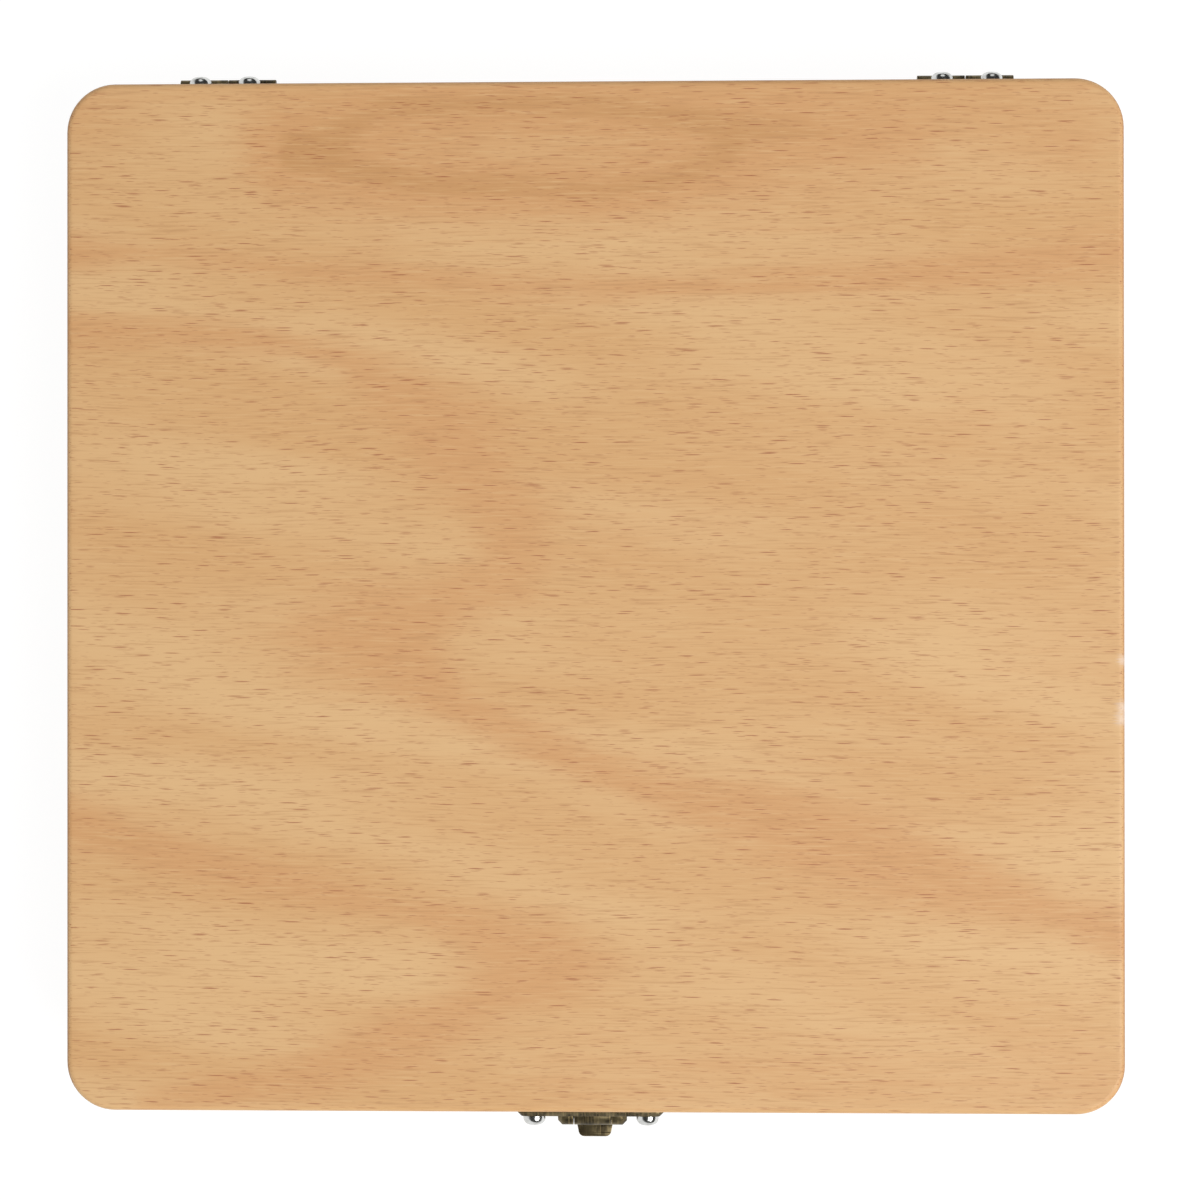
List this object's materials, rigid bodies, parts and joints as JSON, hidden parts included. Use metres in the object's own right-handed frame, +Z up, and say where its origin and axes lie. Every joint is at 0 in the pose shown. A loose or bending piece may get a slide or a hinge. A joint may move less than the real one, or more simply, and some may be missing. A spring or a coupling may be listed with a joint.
{
  "type": "wooden watercolour paint box",
  "caption": "Flat rounded beech paint box with a hinged lid, a front clasp, half pans, a porcelain palette and a brush.",
  "frame": {"origin": "centre of the flat underside of the wooden case, which the box stands on", "axes": "+X along the hinge line, to the right with the clasp in front; +Y from the clasp to the hinges; +Z up"},
  "size_m": [0.195, 0.2006, 0.036],
  "materials": {
    "oiled_beech": "sanded and oiled, satin",
    "antiqued_brass": "brass-plated and antiqued, dull",
    "nickel_plated_steel": "nickel-plated, bright",
    "drawn_steel": "drawn wire",
    "white_porcelain": "glossy glaze",
    "white_polystyrene": "moulded, satin",
    "lacquered_wood": "gloss lacquer",
    "nickel_ferrule": "seamless, polished",
    "brown_hair": "soft, slightly glossy",
    "zinc_white_paint": "dried watercolour cake",
    "lemon_yellow_paint": "dried watercolour cake",
    "cadmium_yellow_paint": "dried watercolour cake",
    "golden_orange_paint": "dried watercolour cake",
    "vermilion_red_paint": "dried watercolour cake",
    "scarlet_red_paint": "dried watercolour cake",
    "carmine_red_paint": "dried watercolour cake",
    "rose_madder_paint": "dried watercolour cake",
    "magenta_paint": "dried watercolour cake",
    "violet_paint": "dried watercolour cake",
    "ultramarine_blue_paint": "dried watercolour cake",
    "cobalt_blue_paint": "dried watercolour cake",
    "cerulean_blue_paint": "dried watercolour cake",
    "turquoise_blue_paint": "dried watercolour cake",
    "prussian_blue_paint": "dried watercolour cake",
    "viridian_green_paint": "dried watercolour cake",
    "emerald_green_paint": "dried watercolour cake",
    "sap_green_paint": "dried watercolour cake",
    "olive_green_paint": "dried watercolour cake",
    "yellow_ochre_paint": "dried watercolour cake",
    "burnt_sienna_paint": "dried watercolour cake",
    "oxide_red_paint": "dried watercolour cake",
    "burnt_umber_paint": "dried watercolour cake",
    "ivory_black_paint": "dried watercolour cake"
  },
  "bodies": {
    "base": {"base_bottom_panel": "oiled_beech", "base_front_wall": "oiled_beech", "base_back_wall": "oiled_beech", "base_left_wall": "oiled_beech", "base_right_wall": "oiled_beech", "back_pan_batten": "oiled_beech", "front_pan_batten": "oiled_beech", "palette_divider": "oiled_beech", "trough_divider": "oiled_beech", "mixing_palette": "white_porcelain", "half_pans": "white_polystyrene", "brush_handle": "lacquered_wood", "brush_ferrule": "nickel_ferrule", "brush_hair": "brown_hair", "left_hinge_base_leaf": "antiqued_brass", "left_hinge_pin": "drawn_steel", "right_hinge_base_leaf": "antiqued_brass", "right_hinge_pin": "drawn_steel", "hinge_base_screws": "nickel_plated_steel", "clasp_catch_plate": "antiqued_brass", "clasp_catch_screws": "nickel_plated_steel", "paint_zinc_white": "zinc_white_paint", "paint_lemon_yellow": "lemon_yellow_paint", "paint_cadmium_yellow": "cadmium_yellow_paint", "paint_golden_orange": "golden_orange_paint", "paint_vermilion_red": "vermilion_red_paint", "paint_scarlet_red": "scarlet_red_paint", "paint_carmine_red": "carmine_red_paint", "paint_rose_madder": "rose_madder_paint", "paint_magenta": "magenta_paint", "paint_violet": "violet_paint", "paint_ultramarine_blue": "ultramarine_blue_paint", "paint_cobalt_blue": "cobalt_blue_paint", "paint_cerulean_blue": "cerulean_blue_paint", "paint_turquoise_blue": "turquoise_blue_paint", "paint_prussian_blue": "prussian_blue_paint", "paint_viridian_green": "viridian_green_paint", "paint_emerald_green": "emerald_green_paint", "paint_sap_green": "sap_green_paint", "paint_olive_green": "olive_green_paint", "paint_yellow_ochre": "yellow_ochre_paint", "paint_burnt_sienna": "burnt_sienna_paint", "paint_oxide_red": "oxide_red_paint", "paint_burnt_umber": "burnt_umber_paint", "paint_ivory_black": "ivory_black_paint"},
    "lid": {"lid_top_panel": "oiled_beech", "lid_front_wall": "oiled_beech", "lid_back_wall": "oiled_beech", "lid_left_wall": "oiled_beech", "lid_right_wall": "oiled_beech", "left_hinge_lid_leaf": "antiqued_brass", "right_hinge_lid_leaf": "antiqued_brass", "hinge_lid_screws": "nickel_plated_steel", "clasp_lid_plate": "antiqued_brass", "clasp_lid_screws": "nickel_plated_steel", "clasp_lever_pin": "drawn_steel"},
    "clasp_lever": {"clasp_lever": "antiqued_brass"}
  },
  "joints": [
    {"name": "lid_hinge", "type": "hinge", "parent": "base", "child": "lid", "pos_m": [0, 0.09645, 0.021], "axis": [-1, 0, 0], "range_deg": [0, 145]},
    {"name": "clasp_lever_hinge", "type": "hinge", "parent": "lid", "child": "clasp_lever", "pos_m": [-0.0006, -0.09705, 0.023], "axis": [-1, 0, 0], "range_deg": [0, 130]}
  ]
}
